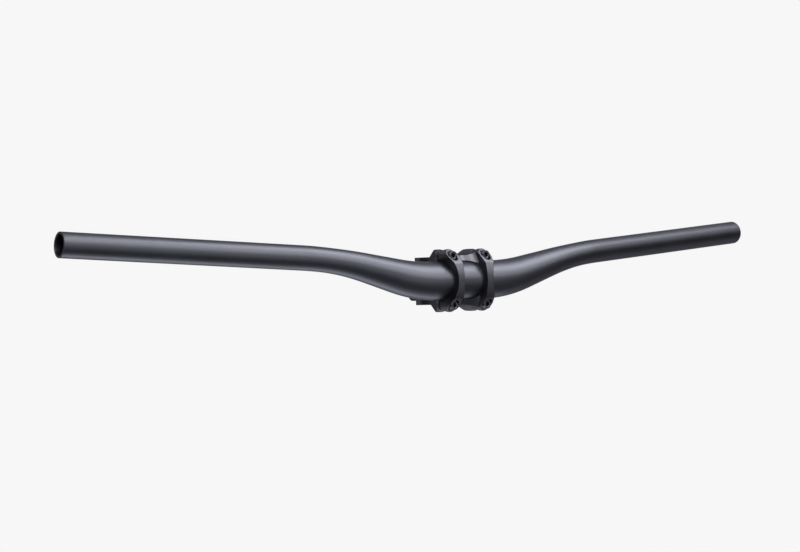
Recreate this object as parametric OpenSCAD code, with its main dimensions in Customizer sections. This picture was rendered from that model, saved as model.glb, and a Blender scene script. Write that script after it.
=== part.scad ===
// Riser handlebar, a wide bent tube, clamped in the short stem that carries it.
// Millimetres. The origin is on the steerer axis at half the stem's height.
// +Z runs up the steerer, -Y points forward and X runs along the bar.
// Left and right are the rider's, so the left grip is on the +X side.

/* [Handlebar] */
// Width between the centres of the two end faces
bar_w = 800; // [720:10:840]
// Outer diameter where the stem clamps the bar
clamp_d = 35; // [31.8:0.1:36]
// Outer diameter of the straight grips
grip_d = 22.2; // [22:0.1:24]
// Distance from the middle to the bend at the foot of the rise
foot_x = 52.5; // [50:0.5:60]
// Distance from the middle to the bend at the top of the rise
shoulder_x = 142; // [135:1:160]
// Height gained between those two bends
rise_h = 21.5; // [10:0.5:30]
// Backward sweep of the grips, in degrees
backsweep = 8; // [4:0.5:12]
// Upward sweep of the grips, in degrees
upsweep = 5; // [2:0.5:7]
// Turn of the bar in its clamp, in degrees, tipping the rise backward
bar_roll = 6.6; // [-10:0.1:12]
// Radius of the bend at the foot of the rise
foot_bend_r = 190; // [120:5:200]
// Radius of the bend at the top of the rise
shoulder_bend_r = 330; // [200:5:360]
// Half the length of the full-size clamp zone
clamp_zone = 26; // [25:0.5:28]
// Distance along the bar at which the taper ends
taper_end = 159; // [145:1:165]
// Wall of the tube in the clamp zone
centre_wall = 2.6; // [2:0.1:4]
// Wall of the tube in the grips
grip_wall = 2; // [1.6:0.1:2.6]
// Chamfer around the rims of the bar's ends
bar_rim = 0.4; // [0.2:0.05:0.6]

/* [Stem body] */
// Distance from the steerer axis to the bar axis
reach = 35; // [34:0.5:60]
// Bore for the steerer tube
steerer_d = 28.6; // [28.6:0.1:30]
// Wall around the steerer bore
steerer_wall = 4.8; // [4:0.1:6]
// Height of the steerer clamp
stack_h = 43.6; // [40:0.2:44]
// Length of the body's bolt lobes, from the parting to the slope behind them
lobe_l = 13.4; // [10:0.1:14]
// Slope behind the lobes, in degrees
lobe_slope = 45; // [40:1:60]
// Length of the lobes' full width behind the parting
lobe_side = 3; // [2:0.1:4]
// Length over which the lobes' sides then narrow to the neck
lobe_taper = 9; // [8:0.1:12]
// Height of the body between its lobes, from the floor of one valley to that of the other
body_valley_h = 43.6; // [43:0.2:44.6]
// Radius that joins those floors to the lobes beside them
body_valley_r = 14; // [8:1:18]
// Width of the neck between the two clamps
neck_w = 36; // [30:1:38]
// Width of the slot in the steerer clamp
slot_w = 2.4; // [1.5:0.1:3]
// Width of the ears across the slot
ear_w = 25; // [22:0.5:28]
// Radius of the ears around the pinch bolts
ear_r = 6.9; // [5.6:0.1:7]
// Distance between the two pinch bolts
pinch_pitch = 22; // [16:0.2:22]
// Metal between the steerer bore and the pinch bolts
pinch_wall = 2.6; // [2.2:0.1:4]
// Chamfer around the mouths of the steerer bore
mouth_rim = 0.6; // [0.3:0.1:1]

/* [Faceplate] */
// Distance between the bolts across the stem
bolt_pitch_x = 39.2; // [38:0.2:42]
// Distance between the upper and lower bolts
bolt_pitch_z = 44.8; // [44:0.2:48]
// Diameter of the bolt bosses
boss_d = 12.2; // [11:0.1:12.4]
// Width across the waist of the clamp
waist_w = 41.2; // [40:0.2:44]
// Height of the faceplate between its bosses, from the floor of one valley to that of the other
plate_valley_h = 45.2; // [44:0.2:46]
// Radius that joins those floors to the bosses beside them
plate_valley_r = 22; // [12:1:23]
// Thickness of the straps in front of the bar
strap_t = 4.5; // [3.5:0.1:6]
// Radius of the straps' front, seen from the side
strap_r = 50; // [36:1:80]
// Distance from the bar axis forward to the bosses' faces, at the bolts
boss_face = 12.9; // [12.4:0.1:14]
// Slope of the bosses' front faces, in degrees
face_slope = 45; // [40:1:50]
// Width of the window at the front of the straps
window_w = 27.6; // [26:0.2:28]
// Width between the window's sides, carried on to its back
window_back_w = 23; // [21:0.2:25]
// Radius of the window's rounded back
window_bend_r = 14.6; // [14.4:0.1:16]
// Height of the window's upright part, above and below which it leans back
upright_h = 31.2; // [29.2:0.2:32]
// Backward lean of the bridges above and below that, in degrees
bridge_lean = 28; // [15:1:32]
// Distance from the bar axis forward to the back of the window's upright part
bridge_y = 4.9; // [4:0.1:6.5]
// Depth of the relief in the clamp's bore, behind the window
relief_d = 0.5; // [0.3:0.1:1.2]
// Gap between the faceplate and the body
parting_gap = 1.6; // [0.8:0.1:2.4]
// Distance of that gap's middle behind the bar axis
parting_y = 1.2; // [0.8:0.1:1.6]
// Depth of the notch over that gap, in the tops and bottoms of the bosses and lobes
notch_d = 2; // [0.4:0.1:2]
// Length of the notch's slope on the faceplate
notch_front = 6; // [3:0.1:6]
// Length of the notch's slope on the body
notch_back = 3.6; // [2:0.1:6]

/* [Bolts] */
// Thread diameter of all the bolts
bolt_d = 5; // [4:0.5:5]
// Diameter of the bolt heads
head_d = 8.5; // [8:0.1:8.6]
// Height of the bolt heads
head_h = 5; // [4:0.1:5.4]
// Hexagon socket, across its flats
hex_af = 4; // [3:0.5:4]
// Depth of the hexagon socket
hex_depth = 2.8; // [2:0.1:3]
// Length of the faceplate bolts under their heads
face_bolt_l = 16; // [14:0.5:16]
// Depth of the thread past the faceplate bolts' tips
thread_run = 1; // [0.5:0.1:1.5]
// Length of the pinch bolts under their heads
pinch_bolt_l = 18; // [16:0.5:19]
// How far the faceplate bolts' heads stand forward of the bosses' faces
head_proud = 0.9; // [0:0.1:1]
// Chamfer around the bolt heads
head_rim = 0.5; // [0.2:0.1:0.7]
// Chamfer at the tips of the bolts
tip_rim = 0.6; // [0.3:0.1:0.8]

/* [Fits] */
// Gap between the bar and its clamp, all round
clamp_gap = 0.05; // [0.02:0.01:0.1]
// Gap between a bolt and its thread, all round
thread_gap = 0.05; // [0.02:0.01:0.1]
// Gap between a bolt and the hole it passes through, all round
pass_gap = 0.25; // [0.1:0.05:0.5]
// Gap around a bolt head in its counterbore
head_gap = 0.3; // [0.25:0.05:0.6]

/* [Hidden] */
$fn = 96;

// Overrun of every cut past the face it leaves
cut = 1;
// Depth to which a valley's bend cuts into the bosses beside it, so that the two arcs cross cleanly
valley_bite = 0.1;
// Distance kept between the faceted bends and the skins of the round tubes they join
facet_inset = 0.02;
// Length over which those tubes lap the bends
tube_lap = 0.5;
// Flat sides around the bends
bend_sides = 32;
// Rings along the outside and along the inside of each bend
outer_rings = 32;
inner_rings = 12;

bar_black = [0.20, 0.21, 0.23];
stem_black = [0.16, 0.165, 0.18];
bolt_black = [0.11, 0.11, 0.12];

clamp_r = clamp_d / 2;
grip_r = grip_d / 2;
steerer_r = steerer_d / 2;
boss_r = boss_d / 2;
bolt_r = bolt_d / 2;
head_r = head_d / 2;
bolt_x = bolt_pitch_x / 2;
bolt_z = bolt_pitch_z / 2;
stack_z = stack_h / 2;

// Centre line of one half of the bar, from the middle to the +X end
x_dir = [1, 0, 0];
foot = [foot_x, 0, 0];
shoulder = [shoulder_x, 0, rise_h];
rise_dir = unit(shoulder - foot);
grip_dir = unit([1, tan(backsweep), tan(upsweep)]);
foot_turn = turn_between(x_dir, rise_dir);
shoulder_turn = turn_between(rise_dir, grip_dir);
foot_setback = foot_bend_r * tan(foot_turn / 2);
shoulder_setback = shoulder_bend_r * tan(shoulder_turn / 2);
rise_l = norm(shoulder - foot) - foot_setback - shoulder_setback;

// Distances along the centre line at which each stretch ends
foot_start = foot_x - foot_setback;
foot_end = foot_start + foot_bend_r * foot_turn * PI / 180;
shoulder_start = foot_end + rise_l;
shoulder_end = shoulder_start + shoulder_bend_r * shoulder_turn * PI / 180;
grip_start = shoulder + grip_dir * shoulder_setback;
grip_l = (bar_w / 2 - grip_start.x) / grip_dir.x;

function unit(v) = v / norm(v);

function turn_between(a, b) = acos(a * b);

// Point and direction on a bend that starts along a and ends along b
function bend_point(start, a, b, r, turn) =
    start + a * r * sin(turn) + unit(b - a * (a * b)) * r * (1 - cos(turn));

function bend_dir(a, b, turn) = a * cos(turn) + unit(b - a * (a * b)) * sin(turn);

function arc_turn(length, r) = length / r * 180 / PI;

function line_point(s) =
    s < foot_start ? x_dir * s
    : s < foot_end ? bend_point(foot - x_dir * foot_setback, x_dir, rise_dir, foot_bend_r,
                                arc_turn(s - foot_start, foot_bend_r))
    : s < shoulder_start ? foot + rise_dir * (foot_setback + s - foot_end)
    : bend_point(shoulder - rise_dir * shoulder_setback, rise_dir, grip_dir, shoulder_bend_r,
                 arc_turn(s - shoulder_start, shoulder_bend_r));

function line_dir(s) =
    s < foot_start ? x_dir
    : s < foot_end ? bend_dir(x_dir, rise_dir, arc_turn(s - foot_start, foot_bend_r))
    : s < shoulder_start ? rise_dir
    : bend_dir(rise_dir, grip_dir, arc_turn(s - shoulder_start, shoulder_bend_r));

// The taper eases in and out, from nought in the clamp zone to one in the grip
function taper_part(s) = min(1, max(0, (s - clamp_zone) / (taper_end - clamp_zone)));

function ease(t) = t * t * (3 - 2 * t);

function outer_r(s) = clamp_r + (grip_r - clamp_r) * ease(taper_part(s)) - facet_inset;

function inner_r(s) =
    (clamp_r - centre_wall + (grip_r - grip_wall - clamp_r + centre_wall) * ease(taper_part(s)))
    / cos(180 / bend_sides) + facet_inset;

// One ring of points square to the centre line
function ring(s, r) =
    let (d = line_dir(s), across = unit(cross([0, 0, 1], d)), up = cross(d, across))
    [for (i = [0:bend_sides - 1])
        line_point(s) + across * r * cos(360 * i / bend_sides) + up * r * sin(360 * i / bend_sides)];

function ring_place(i, rings) = clamp_zone + (shoulder_end - clamp_zone) * i / rings;

// Quads between two rings that start at points a and b
function band(a, b) =
    [for (i = [0:bend_sides - 1]) let (j = (i + 1) % bend_sides) each
        [[a + i, b + i, b + j], [a + i, b + j, a + j]]];

// Wall of the bar from the clamp zone to the start of the grip, as one closed tube
module bar_bend() {
    outer_points = [for (i = [0:outer_rings]) let (s = ring_place(i, outer_rings)) each ring(s, outer_r(s))];
    inner_points = [for (i = [0:inner_rings]) let (s = ring_place(i, inner_rings)) each ring(s, inner_r(s))];
    inner_first = len(outer_points);
    outer_last = bend_sides * outer_rings;
    inner_last = inner_first + bend_sides * inner_rings;
    polyhedron(
        points = concat(outer_points, inner_points),
        faces = concat(
            [for (i = [0:outer_rings - 1]) each band(bend_sides * i, bend_sides * (i + 1))],
            [for (i = [0:inner_rings - 1])
                each band(inner_first + bend_sides * (i + 1), inner_first + bend_sides * i)],
            band(inner_first, 0),
            band(outer_last, inner_last)
        ),
        convexity = 6
    );
}

// A tube along +Z with a chamfer outside and inside its far rim
module grip_tube(l, r, wall) {
    rotate_extrude()
        polygon([
            [r - wall, 0], [r, 0], [r, l - bar_rim], [r - bar_rim, l],
            [r - wall + bar_rim, l], [r - wall, l - bar_rim]
        ]);
}

module bar_half() {
    bar_bend();
    translate(grip_start - grip_dir * tube_lap)
        rotate([0, acos(grip_dir.z), atan2(grip_dir.y, grip_dir.x)])
            grip_tube(grip_l + tube_lap, grip_r, grip_wall);
}

// Everything inside is placed from the bar axis, where the bar crosses the stem
module at_bar() {
    translate([0, -reach, 0]) children();
}

// A cylinder along X, through the bar's axis
module across(r, l) {
    rotate([0, 90, 0]) cylinder(r = r, h = l, center = true);
}

module handlebar() {
    color(bar_black) at_bar() rotate([-bar_roll, 0, 0]) {
        difference() {
            across(clamp_r, 2 * (clamp_zone + tube_lap));
            across(clamp_r - centre_wall, 2 * (clamp_zone + tube_lap + cut));
        }
        bar_half();
        mirror([1, 0, 0]) bar_half();
    }
}

// The clamp seen from the front: four round bosses, with a hollow down each side and a valley
// across the top and the bottom. The hollows meet the bosses smoothly, and the valleys nearly so.
waist_in = bolt_x - waist_w / 2;
side_r = (bolt_z * bolt_z + waist_in * waist_in - boss_r * boss_r) / (2 * (boss_r + waist_in));
side_centre = waist_w / 2 + side_r;
side_meet = [bolt_x, bolt_z] + boss_r * unit([side_centre - bolt_x, -bolt_z]);

// Half the width of a valley's flat floor, from its level and the radius of its bends
function floor_x(floor_z, bend_r) =
    let (apart = boss_r + bend_r - valley_bite, rise = floor_z + bend_r - bolt_z)
    bolt_x - sqrt(apart * apart - rise * rise);

// Where a valley's bend runs into a boss
function valley_meet(floor_z, bend_r) =
    [bolt_x, bolt_z]
    + (boss_r - valley_bite / 2) * unit([floor_x(floor_z, bend_r) - bolt_x, floor_z + bend_r - bolt_z]);

module clamp_outline(floor_z, bend_r) {
    difference() {
        union() {
            square(2 * side_meet, center = true);
            square(2 * valley_meet(floor_z, bend_r), center = true);
            for (sx = [-1, 1], sz = [-1, 1])
                translate([sx * bolt_x, sz * bolt_z]) circle(r = boss_r);
        }
        for (sx = [-1, 1]) translate([sx * side_centre, 0]) circle(r = side_r, $fn = 4 * $fn);
        for (sz = [-1, 1]) translate([0, sz * (floor_z + bend_r)]) {
            square(2 * [floor_x(floor_z, bend_r), bend_r], center = true);
            for (sx = [-1, 1]) translate([sx * floor_x(floor_z, bend_r), 0]) circle(r = bend_r);
        }
    }
}

// The bore for the bar, with a relief behind the window
module bar_bore() {
    across(clamp_r + clamp_gap, 2 * (lug_side + cut));
    across(clamp_r + clamp_gap + relief_d, window_back_w);
}

// A front view, drawn as (x, z), from y_front to y_back
module front_view(y_front, y_back) {
    translate([0, y_back, 0]) rotate([90, 0, 0])
        linear_extrude(height = y_back - y_front) children();
}

// A side view, drawn as (y, z), across the whole stem
module side_view() {
    rotate([90, 0, 90])
        linear_extrude(height = 2 * (bolt_x + boss_d), center = true) children();
}

lug_top = bolt_z + boss_r;
lug_side = bolt_x + boss_r;
plate_back = parting_y - parting_gap / 2;
plate_front = -(clamp_r + strap_t);
body_front = parting_y + parting_gap / 2;
lobe_end = body_front + lobe_l;
slope_end = lobe_end + (lug_top - stack_z) / tan(lobe_slope);
side_end = body_front + lobe_side;
taper_end_y = side_end + lobe_taper;
head_seat = head_h - boss_face - head_proud;
thread_end = head_seat + face_bolt_l + thread_run;

// Front of the faceplate seen from the side: a shallow arc, cut by the bosses' sloping faces
slope_top_y = (lug_top - bolt_z) / tan(face_slope) - boss_face;
slope_low_z = bolt_z + (plate_front + boss_face) * tan(face_slope);

module faceplate_side() {
    intersection() {
        polygon([
            [plate_back, lug_top - notch_d], [plate_back - notch_front, lug_top],
            [slope_top_y, lug_top], [plate_front, slope_low_z],
            [plate_front, -slope_low_z], [slope_top_y, -lug_top],
            [plate_back - notch_front, -lug_top], [plate_back, notch_d - lug_top]
        ]);
        translate([plate_front + strap_r, 0]) circle(r = strap_r, $fn = 4 * $fn);
    }
}

// A cylinder that points forward from y
module forward(r, y, l) {
    translate([0, y, 0]) rotate([90, 0, 0]) cylinder(r = r, h = l);
}

// The window from above, drawn forward from its back: straight sides that open by flare for each
// unit of length, and a back of radius bend_r
module window_plan(bend_r, flare) {
    back_x = window_back_w / 2 - flare * cut;
    front_x = window_back_w / 2 + flare * 2 * reach;
    intersection() {
        polygon([[back_x, cut], [front_x, -2 * reach], [-front_x, -2 * reach], [-back_x, cut]]);
        union() {
            translate([0, -bend_r]) circle(r = bend_r);
            translate([-bend_r, -2 * reach - bend_r]) square([2 * bend_r, 2 * reach]);
        }
    }
}

// The window, upright in front of the bar and leaning back above and below it. Its leaning plan is
// drawn shorter, so that the two meet in one line.
module window_cut() {
    flare = (window_w - window_back_w) / 2 / (-plate_front - bridge_y);
    translate([0, -bridge_y, 0])
        linear_extrude(height = upright_h, center = true) window_plan(window_bend_r, flare);
    for (sz = [0, 1]) mirror([0, 0, sz])
        translate([0, -bridge_y, upright_h / 2]) rotate([-bridge_lean, 0, 0])
            linear_extrude(height = 2 * lug_top, center = true)
                window_plan(window_bend_r / sqrt(cos(bridge_lean)), flare / cos(bridge_lean));
}

module at_face_bolts() {
    for (sx = [-1, 1], sz = [-1, 1]) translate([sx * bolt_x, 0, sz * bolt_z]) children();
}

module faceplate() {
    color(stem_black) at_bar() difference() {
        intersection() {
            front_view(plate_front, plate_back) clamp_outline(plate_valley_h / 2, plate_valley_r);
            side_view() faceplate_side();
        }
        bar_bore();
        window_cut();
        at_face_bolts() {
            forward(bolt_r + pass_gap, plate_back + cut, plate_back - plate_front);
            forward(head_r + head_gap, head_seat, head_seat - plate_front + cut);
        }
    }
}

// The body in front of the steerer seen from the side and from above
module body_side() {
    polygon([
        [body_front, lug_top - notch_d], [body_front + notch_back, lug_top],
        [lobe_end, lug_top], [slope_end, stack_z], [reach, stack_z],
        [reach, -stack_z], [slope_end, -stack_z], [lobe_end, -lug_top],
        [body_front + notch_back, -lug_top], [body_front, notch_d - lug_top]
    ]);
}

module body_plan() {
    polygon([
        [lug_side, body_front], [lug_side, side_end], [neck_w / 2, taper_end_y], [neck_w / 2, reach],
        [-neck_w / 2, reach], [-neck_w / 2, taper_end_y], [-lug_side, side_end], [-lug_side, body_front]
    ]);
}

module body_front_block() {
    intersection() {
        front_view(body_front, reach) clamp_outline(body_valley_h / 2, body_valley_r);
        side_view() body_side();
        linear_extrude(height = 2 * lug_top, center = true) body_plan();
    }
}

pinch_z = pinch_pitch / 2;
pinch_y = steerer_r + pinch_wall + bolt_r;
pinch_seat = ear_w / 2 - head_h;

// The ears carry both pinch bolts behind the steerer
module ears() {
    rotate([90, 0, 90]) linear_extrude(height = ear_w, center = true) {
        translate([0, -pinch_z]) square([pinch_y + ear_r, 2 * pinch_z]);
        translate([0, -pinch_z - ear_r]) square([pinch_y, 2 * (pinch_z + ear_r)]);
        for (sz = [-1, 1]) translate([pinch_y, sz * pinch_z]) circle(r = ear_r);
    }
}

// A pinch bolt's place, with its head towards +X on the upper one and -X on the lower one
module at_pinch_bolt(sz) {
    translate([0, pinch_y, sz * pinch_z]) rotate([0, sz * 90, 0]) children();
}

module pinch_holes(sz) {
    at_pinch_bolt(sz) {
        cylinder(r = bolt_r + pass_gap, h = ear_w / 2 + cut);
        translate([0, 0, pinch_seat]) cylinder(r = head_r + head_gap, h = head_h + cut);
        rotate([180, 0, 0]) cylinder(r = bolt_r + thread_gap, h = ear_w / 2 + cut);
    }
}

module stem_body() {
    color(stem_black) difference() {
        union() {
            at_bar() body_front_block();
            cylinder(r = steerer_r + steerer_wall, h = stack_h, center = true);
            ears();
        }
        at_bar() {
            bar_bore();
            at_face_bolts()
                forward(bolt_r + thread_gap, thread_end, thread_end - body_front + cut);
        }
        cylinder(r = steerer_r, h = stack_h + 2 * cut, center = true);
        for (sz = [0, 1]) mirror([0, 0, sz]) translate([0, 0, stack_z - mouth_rim])
            cylinder(r1 = steerer_r, r2 = steerer_r + mouth_rim + cut, h = mouth_rim + cut);
        translate([-slot_w / 2, 0, -stack_z - cut])
            cube([slot_w, pinch_y + ear_r + cut, stack_h + 2 * cut]);
        for (sz = [-1, 1]) pinch_holes(sz);
    }
}

// A socket head bolt with its seat at the origin, its head up and its thread down
module socket_bolt(l) {
    color(bolt_black) difference() {
        rotate_extrude()
            polygon([
                [0, -l], [bolt_r - tip_rim, -l], [bolt_r, tip_rim - l], [bolt_r, 0], [head_r, 0],
                [head_r, head_h - head_rim], [head_r - head_rim, head_h], [0, head_h]
            ]);
        translate([0, 0, head_h - hex_depth])
            cylinder(r = hex_af / 2 / cos(30), h = hex_depth + cut, $fn = 6);
    }
}

module face_bolt(sx, sz) {
    at_bar() translate([sx * bolt_x, head_seat, sz * bolt_z]) rotate([90, 0, 0])
        socket_bolt(face_bolt_l);
}

module pinch_bolt(sz) {
    at_pinch_bolt(sz) translate([0, 0, pinch_seat]) socket_bolt(pinch_bolt_l);
}

handlebar();
stem_body();
faceplate();
face_bolt(1, 1);  // faceplate_bolt_upper_left
face_bolt(-1, 1);  // faceplate_bolt_upper_right
face_bolt(1, -1);  // faceplate_bolt_lower_left
face_bolt(-1, -1);  // faceplate_bolt_lower_right
pinch_bolt(1);  // pinch_bolt_upper
pinch_bolt(-1);  // pinch_bolt_lower
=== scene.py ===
import math
import bmesh
import bpy
import numpy as np
from mathutils import Matrix, Vector


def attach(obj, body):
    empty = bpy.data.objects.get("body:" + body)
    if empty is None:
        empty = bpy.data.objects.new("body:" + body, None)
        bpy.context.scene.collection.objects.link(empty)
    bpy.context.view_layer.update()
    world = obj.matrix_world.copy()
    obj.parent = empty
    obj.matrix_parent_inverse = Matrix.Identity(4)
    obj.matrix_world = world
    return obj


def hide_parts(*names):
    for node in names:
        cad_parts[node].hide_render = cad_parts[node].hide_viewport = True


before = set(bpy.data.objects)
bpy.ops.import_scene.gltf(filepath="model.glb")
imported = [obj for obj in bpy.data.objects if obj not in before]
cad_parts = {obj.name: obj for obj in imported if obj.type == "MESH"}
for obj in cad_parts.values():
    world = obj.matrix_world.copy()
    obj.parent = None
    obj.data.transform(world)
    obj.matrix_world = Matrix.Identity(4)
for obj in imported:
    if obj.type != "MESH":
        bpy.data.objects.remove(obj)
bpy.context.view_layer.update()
print("frame loaded:", ", ".join(sorted(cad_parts)))

mm = 0.001          # in metres


def unit(vector):
    return np.asarray(vector, float) / np.linalg.norm(vector)


def gridMesh(name, points, wrapRows=False, capEnds=False, smoothAngle=35):
    # A mesh over a grid of points whose columns run round and close. Quads join each row to the next,
    # the last row joins the first with wrapRows, and a centre point closes each end row with capEnds.
    rows, columns = points.shape[:2]
    row = np.arange(rows if wrapRows else rows - 1)[:, None]
    column = np.arange(columns)[None, :]
    nextRow, nextColumn = (row + 1) % rows, (column + 1) % columns
    quads = np.stack([row * columns + column, row * columns + nextColumn,
                      nextRow * columns + nextColumn, nextRow * columns + column], axis=-1)
    faces = quads.reshape(-1, 4).tolist()
    vertices = points.reshape(-1, 3)
    if capEnds:
        first, last = len(vertices), len(vertices) + 1
        vertices = np.vstack([vertices, points[0].mean(axis=0), points[-1].mean(axis=0)])
        around = np.arange(columns)
        after = (around + 1) % columns
        base = (rows - 1) * columns
        faces += np.stack([after, around, np.full(columns, first)], axis=-1).tolist()
        faces += np.stack([base + around, base + after, np.full(columns, last)], axis=-1).tolist()
    mesh = bpy.data.meshes.new(name)
    mesh.from_pydata(vertices.tolist(), [], faces)
    mesh.update()
    mesh.shade_smooth()
    mesh.set_sharp_from_angle(angle=math.radians(smoothAngle))
    return mesh


def placePiece(name, mesh, material, node):
    piece = bpy.data.objects.new(name, mesh)
    bpy.context.scene.collection.objects.link(piece)
    mesh.materials.clear()
    mesh.materials.append(material)
    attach(piece, "root")
    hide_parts(node)
    return piece


# Materials
def hexToLinear(text):
    srgb = np.array([int(text[i:i + 2], 16) for i in (1, 3, 5)]) / 255
    linear = np.where(srgb <= 0.04045, srgb / 12.92, ((srgb + 0.055) / 1.055) ** 2.4)
    return (*linear.tolist(), 1.0)


def addNode(tree, kind, links=None, inputs=None, **settings):
    # one node with its properties, its fixed inputs and the sockets that feed it
    node = tree.nodes.new(kind)
    for key, value in settings.items():
        setattr(node, key, value)
    for key, value in (inputs or {}).items():
        node.inputs[key].default_value = value
    for key, source in (links or {}).items():
        tree.links.new(source, node.inputs[key])
    return node


def newTree(name):
    material = bpy.data.materials.new(name)
    material.use_nodes = True
    material.node_tree.nodes.clear()
    return material, material.node_tree


finishPattern = {
    "mottleDetail": 3.0, "mottleRoughness": 0.55,
    "wearFrom": 0.3, "wearTo": 0.7,     # the mottling's range that the wear follows
    "wearSpread": 0.02,                 # roughness more or less
    "grainDetail": 2.0,
    "rimSamples": 6,
}


def metalFinish(name, look):
    # A dark finished metal: two near colours mixed by soft mottling, a little wear in the roughness,
    # and a fine grain that only bends the light.
    pattern = finishPattern
    material, tree = newTree(name)
    place = addNode(tree, "ShaderNodeTexCoord").outputs["Object"]
    mottle = addNode(tree, "ShaderNodeTexNoise", {"Vector": place},
                     {"Scale": 1 / look["mottleSize"], "Detail": pattern["mottleDetail"],
                      "Roughness": pattern["mottleRoughness"]})
    tone = addNode(tree, "ShaderNodeMix", {"Factor": mottle.outputs["Fac"]},
                   {"A": hexToLinear(look["dark"]), "B": hexToLinear(look["light"])},
                   data_type="RGBA")
    rough = addNode(tree, "ShaderNodeMapRange", {"Value": mottle.outputs["Fac"]},
                    {"From Min": pattern["wearFrom"], "From Max": pattern["wearTo"],
                     "To Min": look["roughness"] - pattern["wearSpread"],
                     "To Max": look["roughness"] + pattern["wearSpread"]})
    stretch = addNode(tree, "ShaderNodeMapping", {"Vector": place}, {"Scale": look["grainStretch"]})
    grain = addNode(tree, "ShaderNodeTexNoise", {"Vector": stretch.outputs["Vector"]},
                    {"Scale": 1 / look["grainSize"], "Detail": pattern["grainDetail"]})
    bump = addNode(tree, "ShaderNodeBump", {"Height": grain.outputs["Fac"]},
                   {"Strength": look["grainStrength"], "Distance": look["grainDepth"]})
    if look["rim"]:
        edge = addNode(tree, "ShaderNodeBevel", inputs={"Radius": look["rim"]},
                       samples=pattern["rimSamples"])
        tree.links.new(edge.outputs["Normal"], bump.inputs["Normal"])
    shader = addNode(tree, "ShaderNodeBsdfPrincipled",
                     {"Base Color": tone.outputs["Result"], "Roughness": rough.outputs["Result"],
                      "Normal": bump.outputs["Normal"]},
                     {"Metallic": 1.0, "Specular Tint": hexToLinear(look["edgeTint"])})
    addNode(tree, "ShaderNodeOutputMaterial", {"Surface": shader.outputs["BSDF"]})
    return material


# Bead-blasted aluminium, anodised black: a deep blue-grey black with a broad silky highlight.
# The blasting leaves pits of about 0.05 mm, drawn at 0.35 mm so that they show.
barFinish = metalFinish("beadBlastedBlackAnodisedAluminium", {
    "dark": "#4D4E54", "light": "#55565D", "edgeTint": "#A8A8A8",
    "roughness": 0.4, "rim": 0,
    "mottleSize": 30 * mm,
    "grainSize": 0.35 * mm, "grainStretch": (1, 1, 1),
    "grainStrength": 0.25, "grainDepth": 0.02 * mm,
})

# Milled aluminium, anodised black: a little sharper than the bar, with broken edges that catch
# the light.
# The cutter's lines are about 0.1 mm apart, drawn at 0.5 mm so that they show.
stemFinish = metalFinish("milledBlackAnodisedAluminium", {
    "dark": "#4C4D52", "light": "#545459", "edgeTint": "#A0A0A4",
    "roughness": 0.36, "rim": 0.6 * mm,
    "mottleSize": 20 * mm,
    "grainSize": 0.5 * mm, "grainStretch": (1, 1, 0.25),
    "grainStrength": 0.15, "grainDepth": 0.02 * mm,
})

# Steel with a black oxide coat from a hot bath: dark, smooth and slightly oily.
boltFinish = metalFinish("blackOxideSteel", {
    "dark": "#4C4D52", "light": "#55565B", "edgeTint": "#9A9A9E",
    "roughness": 0.32, "rim": 0,
    "mottleSize": 6 * mm,
    "grainSize": 0.3 * mm, "grainStretch": (1, 1, 1),
    "grainStrength": 0.1, "grainDepth": 0.01 * mm,
})
print("materials made")

# Bar
barShape = {
    "axisY": -35 * mm,                  # the bar's axis in the clamp, in front of the steerer
    "roll": 6.6,                        # degrees the rise tips backward in the clamp
    "halfWidth": 400 * mm,
    "clampRadius": 17.5 * mm, "gripRadius": 11.1 * mm,
    "clampWall": 2.6 * mm, "gripWall": 2 * mm,
    "clampZone": 26 * mm, "taperEnd": 159 * mm,
    "footX": 52.5 * mm, "shoulderX": 142 * mm, "rise": 21.5 * mm,
    "backsweep": 8, "upsweep": 5,       # degrees
    "footBend": 190 * mm, "shoulderBend": 330 * mm,
    "rim": 0.4 * mm,
    "sides": 112, "outerRings": 440, "innerRings": 150, "rimRings": 4,
}


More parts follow.
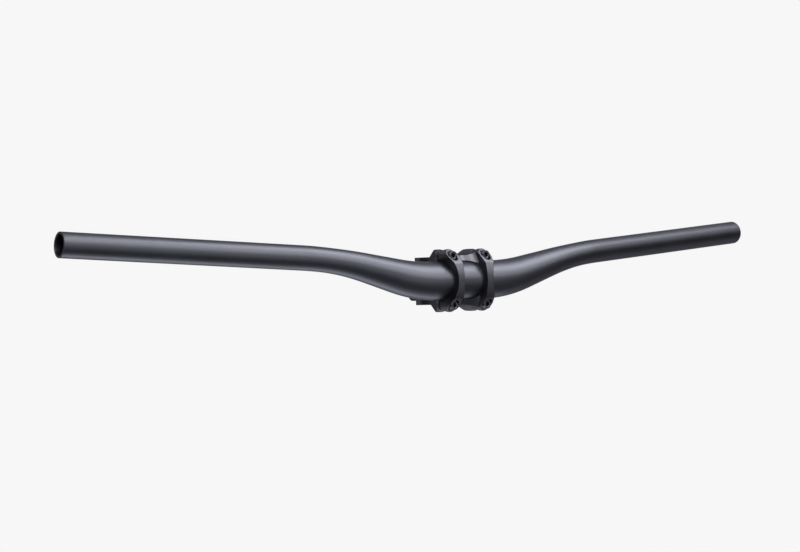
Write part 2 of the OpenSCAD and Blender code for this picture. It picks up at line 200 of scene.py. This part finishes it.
def barLine(along):
    # The bar's centre line at distances from its middle: straight through the clamp, an arc up
    # into the rise, a straight rise, an arc out into the grip, and a straight grip. The -X half
    # mirrors the +X one.
    # An arc's point is start + radius * (sin(turn) * way in + (1 - cos(turn)) * square to it).
    shape = barShape
    s = np.abs(along)[:, None]
    level = np.array([1.0, 0, 0])
    foot = np.array([shape["footX"], 0, 0])
    shoulder = np.array([shape["shoulderX"], 0, shape["rise"]])
    riseWay = unit(shoulder - foot)
    gripWay = unit([1, math.tan(math.radians(shape["backsweep"])),
                    math.tan(math.radians(shape["upsweep"]))])
    footTurn, shoulderTurn = math.acos(level @ riseWay), math.acos(riseWay @ gripWay)
    footBack = shape["footBend"] * math.tan(footTurn / 2)
    shoulderBack = shape["shoulderBend"] * math.tan(shoulderTurn / 2)
    riseLength = np.linalg.norm(shoulder - foot) - footBack - shoulderBack
    ends = np.cumsum([shape["footX"] - footBack, shape["footBend"] * footTurn,
                      riseLength, shape["shoulderBend"] * shoulderTurn])
    gripStart = shoulder + gripWay * shoulderBack

    def arc(start, wayIn, wayOut, radius, travelled):
        square = unit(wayOut - wayIn * (wayIn @ wayOut))
        turn = travelled / radius
        way = np.cos(turn) * wayIn + np.sin(turn) * square
        return start + radius * (np.sin(turn) * wayIn + (1 - np.cos(turn)) * square), way

    stretches = [
        (s * level, level + 0 * s),
        arc(foot - level * footBack, level, riseWay, shape["footBend"], s - ends[0]),
        (foot + riseWay * (footBack + s - ends[1]), riseWay + 0 * s),
        arc(shoulder - riseWay * shoulderBack, riseWay, gripWay, shape["shoulderBend"], s - ends[2]),
        (gripStart + gripWay * (s - ends[3]), gripWay + 0 * s),
    ]
    which = np.searchsorted(ends, s[:, 0])[:, None]
    points = np.choose(which, [place for place, _ in stretches])
    ways = np.choose(which, [way for _, way in stretches])
    left = np.where(along < 0, -1.0, 1.0)[:, None]
    points = points * np.hstack([left, left * 0 + 1, left * 0 + 1])
    ways = ways * np.hstack([left * 0 + 1, left, left])     # still towards +X
    length = ends[3] + (shape["halfWidth"] - gripStart[0]) / gripWay[0]
    return points, ways, length


def barRadii(along):
    # outer and inner radius, easing from clamp to grip as 3t^2 - 2t^3
    shape = barShape
    t = np.clip((np.abs(along) - shape["clampZone"]) / (shape["taperEnd"] - shape["clampZone"]), 0, 1)
    eased = t * t * (3 - 2 * t)
    outer = shape["clampRadius"] + (shape["gripRadius"] - shape["clampRadius"]) * eased
    wall = shape["clampWall"] + (shape["gripWall"] - shape["clampWall"]) * eased
    return outer, outer - wall


def barSurface():
    # A closed profile carried along the line: out along the skin, round one rim, back through the
    # bore, and round the other rim. A rim is a quarter circle outside and one inside. A point is
    # centre + radius * (cos(angle) * across + sin(angle) * up), tipped back by the roll.
    shape = barShape
    length = barLine(np.zeros(1))[2]
    rim = shape["rim"]
    quarter = np.linspace(0, math.pi / 2, shape["rimRings"] + 2)[1:-1]
    outward = np.linspace(-length + rim, length - rim, shape["outerRings"])
    inward = np.linspace(length - rim, -length + rim, shape["innerRings"])
    turnOut = length - rim + rim * np.sin(quarter)
    flat = np.array([length, length])
    turnIn = turnOut[::-1]
    along = np.concatenate([outward, turnOut, flat, turnIn, inward, -turnOut, -flat, -turnIn])
    outer, inner = barRadii(along)
    shrink = rim * (1 - np.cos(quarter))
    radius = np.concatenate([
        outer[:len(outward)],
        shape["gripRadius"] - shrink,
        [shape["gripRadius"] - rim, shape["gripRadius"] - shape["gripWall"] + rim],
        shape["gripRadius"] - shape["gripWall"] + shrink[::-1],
        inner[len(outward) + 2 * len(quarter) + 2:][:len(inward)],
        shape["gripRadius"] - shape["gripWall"] + shrink,
        [shape["gripRadius"] - shape["gripWall"] + rim, shape["gripRadius"] - rim],
        shape["gripRadius"] - shrink[::-1],
    ])
    centres, ways, _ = barLine(along)
    across = np.cross([0, 0, 1], ways)
    across /= np.linalg.norm(across, axis=1, keepdims=True)
    up = np.cross(ways, across)
    angle = np.linspace(0, 2 * math.pi, shape["sides"], endpoint=False)[None, :, None]
    ring = across[:, None] * np.cos(angle) + up[:, None] * np.sin(angle)
    points = centres[:, None] + ring * radius[:, None, None]
    turn = math.radians(-shape["roll"])
    tip = np.array([[1, 0, 0], [0, math.cos(turn), -math.sin(turn)], [0, math.sin(turn), math.cos(turn)]])
    return points @ tip.T + [0, shape["axisY"], 0]


barMesh = gridMesh("handlebarTube", barSurface()[:, ::-1], wrapRows=True)
placePiece("handlebarTube", barMesh, barFinish, "handlebar")
print("bar made:", len(barMesh.polygons), "faces")

# Stem
stemEdges = {
    "bodyRim": 0.5 * mm,        # radius of the broken edges
    "plateRim": 0.6 * mm,
    "rimSteps": 3,
    "sharpest": 28,             # degrees over which an edge is broken
    "mergeWithin": 0.002 * mm,
    "flatWithin": 0.6,          # degrees within which triangles are one flat face
}


def mergedCopy(node, name):
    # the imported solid, its loose triangles merged, its flat faces made whole and its edges marked
    work = bmesh.new()
    work.from_mesh(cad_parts[node].data)
    bmesh.ops.remove_doubles(work, verts=work.verts, dist=stemEdges["mergeWithin"])
    bmesh.ops.dissolve_limit(work, angle_limit=math.radians(stemEdges["flatWithin"]),
                             verts=work.verts, edges=work.edges)
    mesh = bpy.data.meshes.new(name)
    work.verts.index_update()
    mesh.from_pydata([vertex.co[:] for vertex in work.verts], [],
                     [[vertex.index for vertex in face.verts] for face in work.faces])
    work.free()
    mesh.update()
    mesh.shade_smooth()
    mesh.set_sharp_from_angle(angle=math.radians(stemEdges["sharpest"]))
    return mesh


def roundEdges(piece, rim):
    bevel = piece.modifiers.new("brokenEdges", "BEVEL")
    bevel.width = rim
    bevel.segments = stemEdges["rimSteps"]
    bevel.limit_method = "ANGLE"
    bevel.angle_limit = math.radians(stemEdges["sharpest"])
    bevel.use_clamp_overlap = True
    bevel.harden_normals = True
    bevel.miter_outer = "MITER_ARC"


bodyMesh = mergedCopy("stem_body", "stemBody")
plateMesh = mergedCopy("faceplate", "stemFaceplate")
roundEdges(placePiece("stemBody", bodyMesh, stemFinish, "stem_body"), stemEdges["bodyRim"])
roundEdges(placePiece("stemFaceplate", plateMesh, stemFinish, "faceplate"), stemEdges["plateRim"])
print("stem made:", len(bodyMesh.polygons), "and", len(plateMesh.polygons), "faces")

# Bolts
boltShape = {
    "threadRadius": 2.5 * mm, "headRadius": 4.25 * mm, "headHeight": 5 * mm,
    "headRim": 0.5 * mm, "tipRim": 0.6 * mm, "seatRim": 0.15 * mm, "neck": 1.5 * mm,
    "tipFlatShare": 0.4,                # the ring inside the tip's flat end
    "socketFlat": 2 * mm, "socketDepth": 2.8 * mm, "socketMouth": 2.45 * mm, "socketLead": 0.25 * mm,
    "threadPitch": 0.8 * mm, "threadDepth": 0.35 * mm, "threadLength": 14 * mm,
    "grooveShares": (0.06, 0.5, 0.56, 0.94),    # where one pitch dips, lies deep, and is full again
    "sides": 72, "rimRings": 6,
    "faceLength": 16 * mm, "pinchLength": 18 * mm,
    "faceX": 19.6 * mm, "faceZ": 22.4 * mm, "faceSeatY": -43.8 * mm,
    "pinchZ": 11 * mm, "pinchY": 19.4 * mm, "pinchSeat": 7.5 * mm,
}


def boltSurface(length):
    # A profile of radius and height turned round +Z, with the seat at 0 and the head above. Rows
    # marked 1 are the socket's, where the radius is a hexagon's: flat distance / cos(angle from
    # the nearest flat).
    shape = boltShape
    r, head = shape["threadRadius"], shape["headRadius"]
    top, floor = shape["headHeight"], shape["headHeight"] - shape["socketDepth"]
    turns = int(shape["threadLength"] / shape["threadPitch"])
    turnStart = -length + shape["tipRim"] + np.arange(turns)[:, None] * shape["threadPitch"]
    groove = turnStart + np.array([shape["grooveShares"]]) * shape["threadPitch"]
    grooveRadius = np.tile([r, r - shape["threadDepth"], r - shape["threadDepth"], r], (turns, 1))
    quarter = np.linspace(0, math.pi / 2, shape["rimRings"])
    rim, seatRim, tip = shape["headRim"], shape["seatRim"], r - shape["tipRim"]
    profile = np.vstack([
        [[shape["tipFlatShare"] * tip, -length, 0], [tip, -length, 0]],
        np.stack([grooveRadius.ravel(), groove.ravel(), np.zeros(groove.size)], axis=1),
        [[r, -shape["neck"], 0], [r, 0, 0], [head - seatRim, 0, 0], [head, seatRim, 0]],
        np.stack([head - rim + rim * np.cos(quarter), top - rim + rim * np.sin(quarter),
                  0 * quarter], axis=1),
        [[shape["socketMouth"], top, 0], [0, top - shape["socketLead"], 1], [0, floor, 1]],
    ])
    angle = np.linspace(0, 2 * math.pi, shape["sides"], endpoint=False)
    nearest = (angle + math.pi / 6) % (math.pi / 3) - math.pi / 6
    hexagon = shape["socketFlat"] / np.cos(nearest)
    radius = np.where(profile[:, 2:] > 0, hexagon, profile[:, :1])
    height = np.repeat(profile[:, 1:2], shape["sides"], axis=1)
    return np.stack([radius * np.cos(angle), radius * np.sin(angle), height], axis=-1)


def addBolt(name, node, length, seat, headWay):
    turn = Vector((0, 0, 1)).rotation_difference(Vector(headWay)).to_matrix()
    points = boltSurface(length) @ np.array(turn).T + np.array(seat)
    mesh = gridMesh(name, points, capEnds=True)
    placePiece(name, mesh, boltFinish, node)


# left is the rider's left, on the +X side
for side, sideName in ((1, "Left"), (-1, "Right")):
    for height, heightName in ((1, "Upper"), (-1, "Lower")):
        addBolt("faceplateBolt" + heightName + sideName,
                "faceplate_bolt_" + heightName.lower() + "_" + sideName.lower(), boltShape["faceLength"],
                (side * boltShape["faceX"], boltShape["faceSeatY"], height * boltShape["faceZ"]),
                (0, -1, 0))
for height, heightName in ((1, "Upper"), (-1, "Lower")):
    addBolt("pinchBolt" + heightName, "pinch_bolt_" + heightName.lower(), boltShape["pinchLength"],
            (height * boltShape["pinchSeat"], boltShape["pinchY"], height * boltShape["pinchZ"]),
            (height, 0, 0))
print("bolts made")

# Studio
studio = {
    "background": "#F7F7F7",
    "ambient": 0.24,            # strength of the world's light on the object
    "floor": "#E2E2E2", "floorZ": -0.42, "floorHalf": 3.0,
    "fadeFrom": 1.0, "fadeTo": 1.6,     # metres from the floor's middle
    "key": {"place": (1.66, -0.95, 2.2), "aim": (0, -0.035, 0), "size": (1.6, 1.6), "power": 52},
    "side": {"place": (1.35, -2.05, 1.1), "aim": (0, -0.035, 0), "size": (1.3, 1.0), "power": 14},
    "front": {"place": (-1.2, -1.7, 2.1), "aim": (0, -0.035, 0), "size": (1.4, 1.2), "power": 36},
    "fore": {"place": (0.2, -1.9, 1.8), "aim": (0, -0.035, 0), "size": (0.9, 0.9), "power": 10},
    "low": {"place": (0.05, 0.18, -0.40), "aim": (0.05, 0.18, 0), "size": (0.8, 0.26), "power": 2},
    # grey cards that only the metal's reflections see
    "frontCard": {"place": (0.3, -0.5, -0.35), "aim": (0.3, -0.5, 1),
                  "size": (2.2, 0.8), "tone": "#6C6D72"},
    "leftCard": {"place": (-0.3, -1.6, -0.3), "aim": (-0.3, -1.6, 1),
                 "size": (1.1, 1.0), "tone": "#505156"},
    "endCard": {"place": (1.18, -0.55, -0.07), "aim": (0.53, 0.135, -0.07),
                "size": (1.1, 0.66), "tone": "#202124"},
    "sideCard": {"place": (-1.36, 0.3, 0), "aim": (0, -0.035, 0),
                 "size": (2.4, 1.6), "tone": "#404146"},
}


def paleToEye(tree):
    # one where the camera, a mirror-like surface or glass looks, nought for the light itself
    rays = addNode(tree, "ShaderNodeLightPath").outputs
    seen = addNode(tree, "ShaderNodeMath", {0: rays["Is Camera Ray"], 1: rays["Is Glossy Ray"]},
                   operation="MAXIMUM")
    seenOrThrough = addNode(tree, "ShaderNodeMath", {0: seen.outputs[0], 1: rays["Is Transmission Ray"]},
                            operation="MAXIMUM")
    return seenOrThrough.outputs[0]


world = bpy.data.worlds.new("paleStudio")
bpy.context.scene.world = world
world.use_nodes = True
world.node_tree.nodes.clear()
tree = world.node_tree
ambient = addNode(tree, "ShaderNodeBackground",
                  inputs={"Color": (1, 1, 1, 1), "Strength": studio["ambient"]})
backdrop = addNode(tree, "ShaderNodeBackground",
                   inputs={"Color": hexToLinear(studio["background"]), "Strength": 1.0})
choice = addNode(tree, "ShaderNodeMixShader",
                 {0: paleToEye(tree), 1: ambient.outputs[0], 2: backdrop.outputs[0]})
addNode(tree, "ShaderNodeOutputWorld", {"Surface": choice.outputs[0]})

# pale matt floor that keeps the shadow under the bar and fades into the background further out
floorMaterial, tree = newTree("mattPaleFloor")
place = addNode(tree, "ShaderNodeTexCoord").outputs["Object"]
distance = addNode(tree, "ShaderNodeVectorMath", {0: place}, operation="LENGTH")
fade = addNode(tree, "ShaderNodeMapRange", {"Value": distance.outputs["Value"]},
               {"From Min": studio["fadeFrom"], "From Max": studio["fadeTo"]},
               interpolation_type="SMOOTHSTEP")
seen = addNode(tree, "ShaderNodeMath", {0: fade.outputs["Result"], 1: paleToEye(tree)},
               operation="MULTIPLY")
matt = addNode(tree, "ShaderNodeBsdfDiffuse", inputs={"Color": hexToLinear(studio["floor"])})
flat = addNode(tree, "ShaderNodeEmission", inputs={"Color": hexToLinear(studio["background"])})
mixed = addNode(tree, "ShaderNodeMixShader",
                {0: seen.outputs[0], 1: matt.outputs[0], 2: flat.outputs[0]})
addNode(tree, "ShaderNodeOutputMaterial", {"Surface": mixed.outputs[0]})

half = studio["floorHalf"]
floorMesh = bpy.data.meshes.new("studioFloor")
floorCorners = [(-half, -half, 0), (half, -half, 0), (half, half, 0), (-half, half, 0)]
floorMesh.from_pydata(floorCorners, [], [(0, 1, 2, 3)])
floorMesh.materials.append(floorMaterial)
studioFloor = bpy.data.objects.new("studioFloor", floorMesh)
studioFloor.location.z = studio["floorZ"]
bpy.context.scene.collection.objects.link(studioFloor)


def hang(name, data, spot):
    # a lamp or card that faces from its place to its aim and that the camera doesn't see
    holder = bpy.data.objects.new(name, data)
    holder.location = spot["place"]
    aim = Vector(spot["aim"]) - holder.location
    holder.rotation_mode = "QUATERNION"
    holder.rotation_quaternion = aim.to_track_quat("-Z", "Y")
    holder.visible_camera = False
    bpy.context.scene.collection.objects.link(holder)
    return holder


def addLamp(name, lamp):
    light = bpy.data.lights.new(name, "AREA")
    light.shape = "RECTANGLE"
    light.size, light.size_y = lamp["size"]
    light.energy = lamp["power"]
    hang(name, light, lamp)


def addCard(name, card):
    wide, high = card["size"][0] / 2, card["size"][1] / 2
    mesh = bpy.data.meshes.new(name)
    corners = [(-wide, -high, 0), (wide, -high, 0), (wide, high, 0), (-wide, high, 0)]
    mesh.from_pydata(corners, [], [(0, 3, 2, 1)])
    material, tree = newTree(name)
    matt = addNode(tree, "ShaderNodeBsdfDiffuse", inputs={"Color": hexToLinear(card["tone"])})
    addNode(tree, "ShaderNodeOutputMaterial", {"Surface": matt.outputs[0]})
    mesh.materials.append(material)
    holder = hang(name, mesh, card)
    holder.visible_diffuse = False
    holder.visible_shadow = False


addLamp("keySoftbox", studio["key"])
addLamp("sideSoftbox", studio["side"])
addLamp("frontSoftbox", studio["front"])
addLamp("foreSoftbox", studio["fore"])
addLamp("lowStrip", studio["low"])
addCard("frontCard", studio["frontCard"])
addCard("leftCard", studio["leftCard"])
addCard("endCard", studio["endCard"])
addCard("sideCard", studio["sideCard"])

# Camera
cameraView = {
    "place": (-1.555114, -1.855004, 0.003397),
    "right": (0.77469, -0.63161, -0.03051),
    "up": (0.0231, -0.01995, 0.99953),
    "back": (-0.63192, -0.77503, -0.00086),
    "lens": 118.338, "sensor": 36,      # mm
    "clip": (0.05, 50),
}
camera = bpy.data.objects.new("photoCamera", bpy.data.cameras.new("photoCamera"))
bpy.context.scene.collection.objects.link(camera)
camera.data.lens = cameraView["lens"]
camera.data.sensor_width = cameraView["sensor"]
camera.data.clip_start, camera.data.clip_end = cameraView["clip"]
axes = Matrix((cameraView["right"], cameraView["up"], cameraView["back"])).transposed()
camera.matrix_world = Matrix.Translation(cameraView["place"]) @ axes.to_4x4()
bpy.context.scene.camera = camera

bpy.context.scene.view_settings.view_transform = "Standard"
print("studio and camera made")
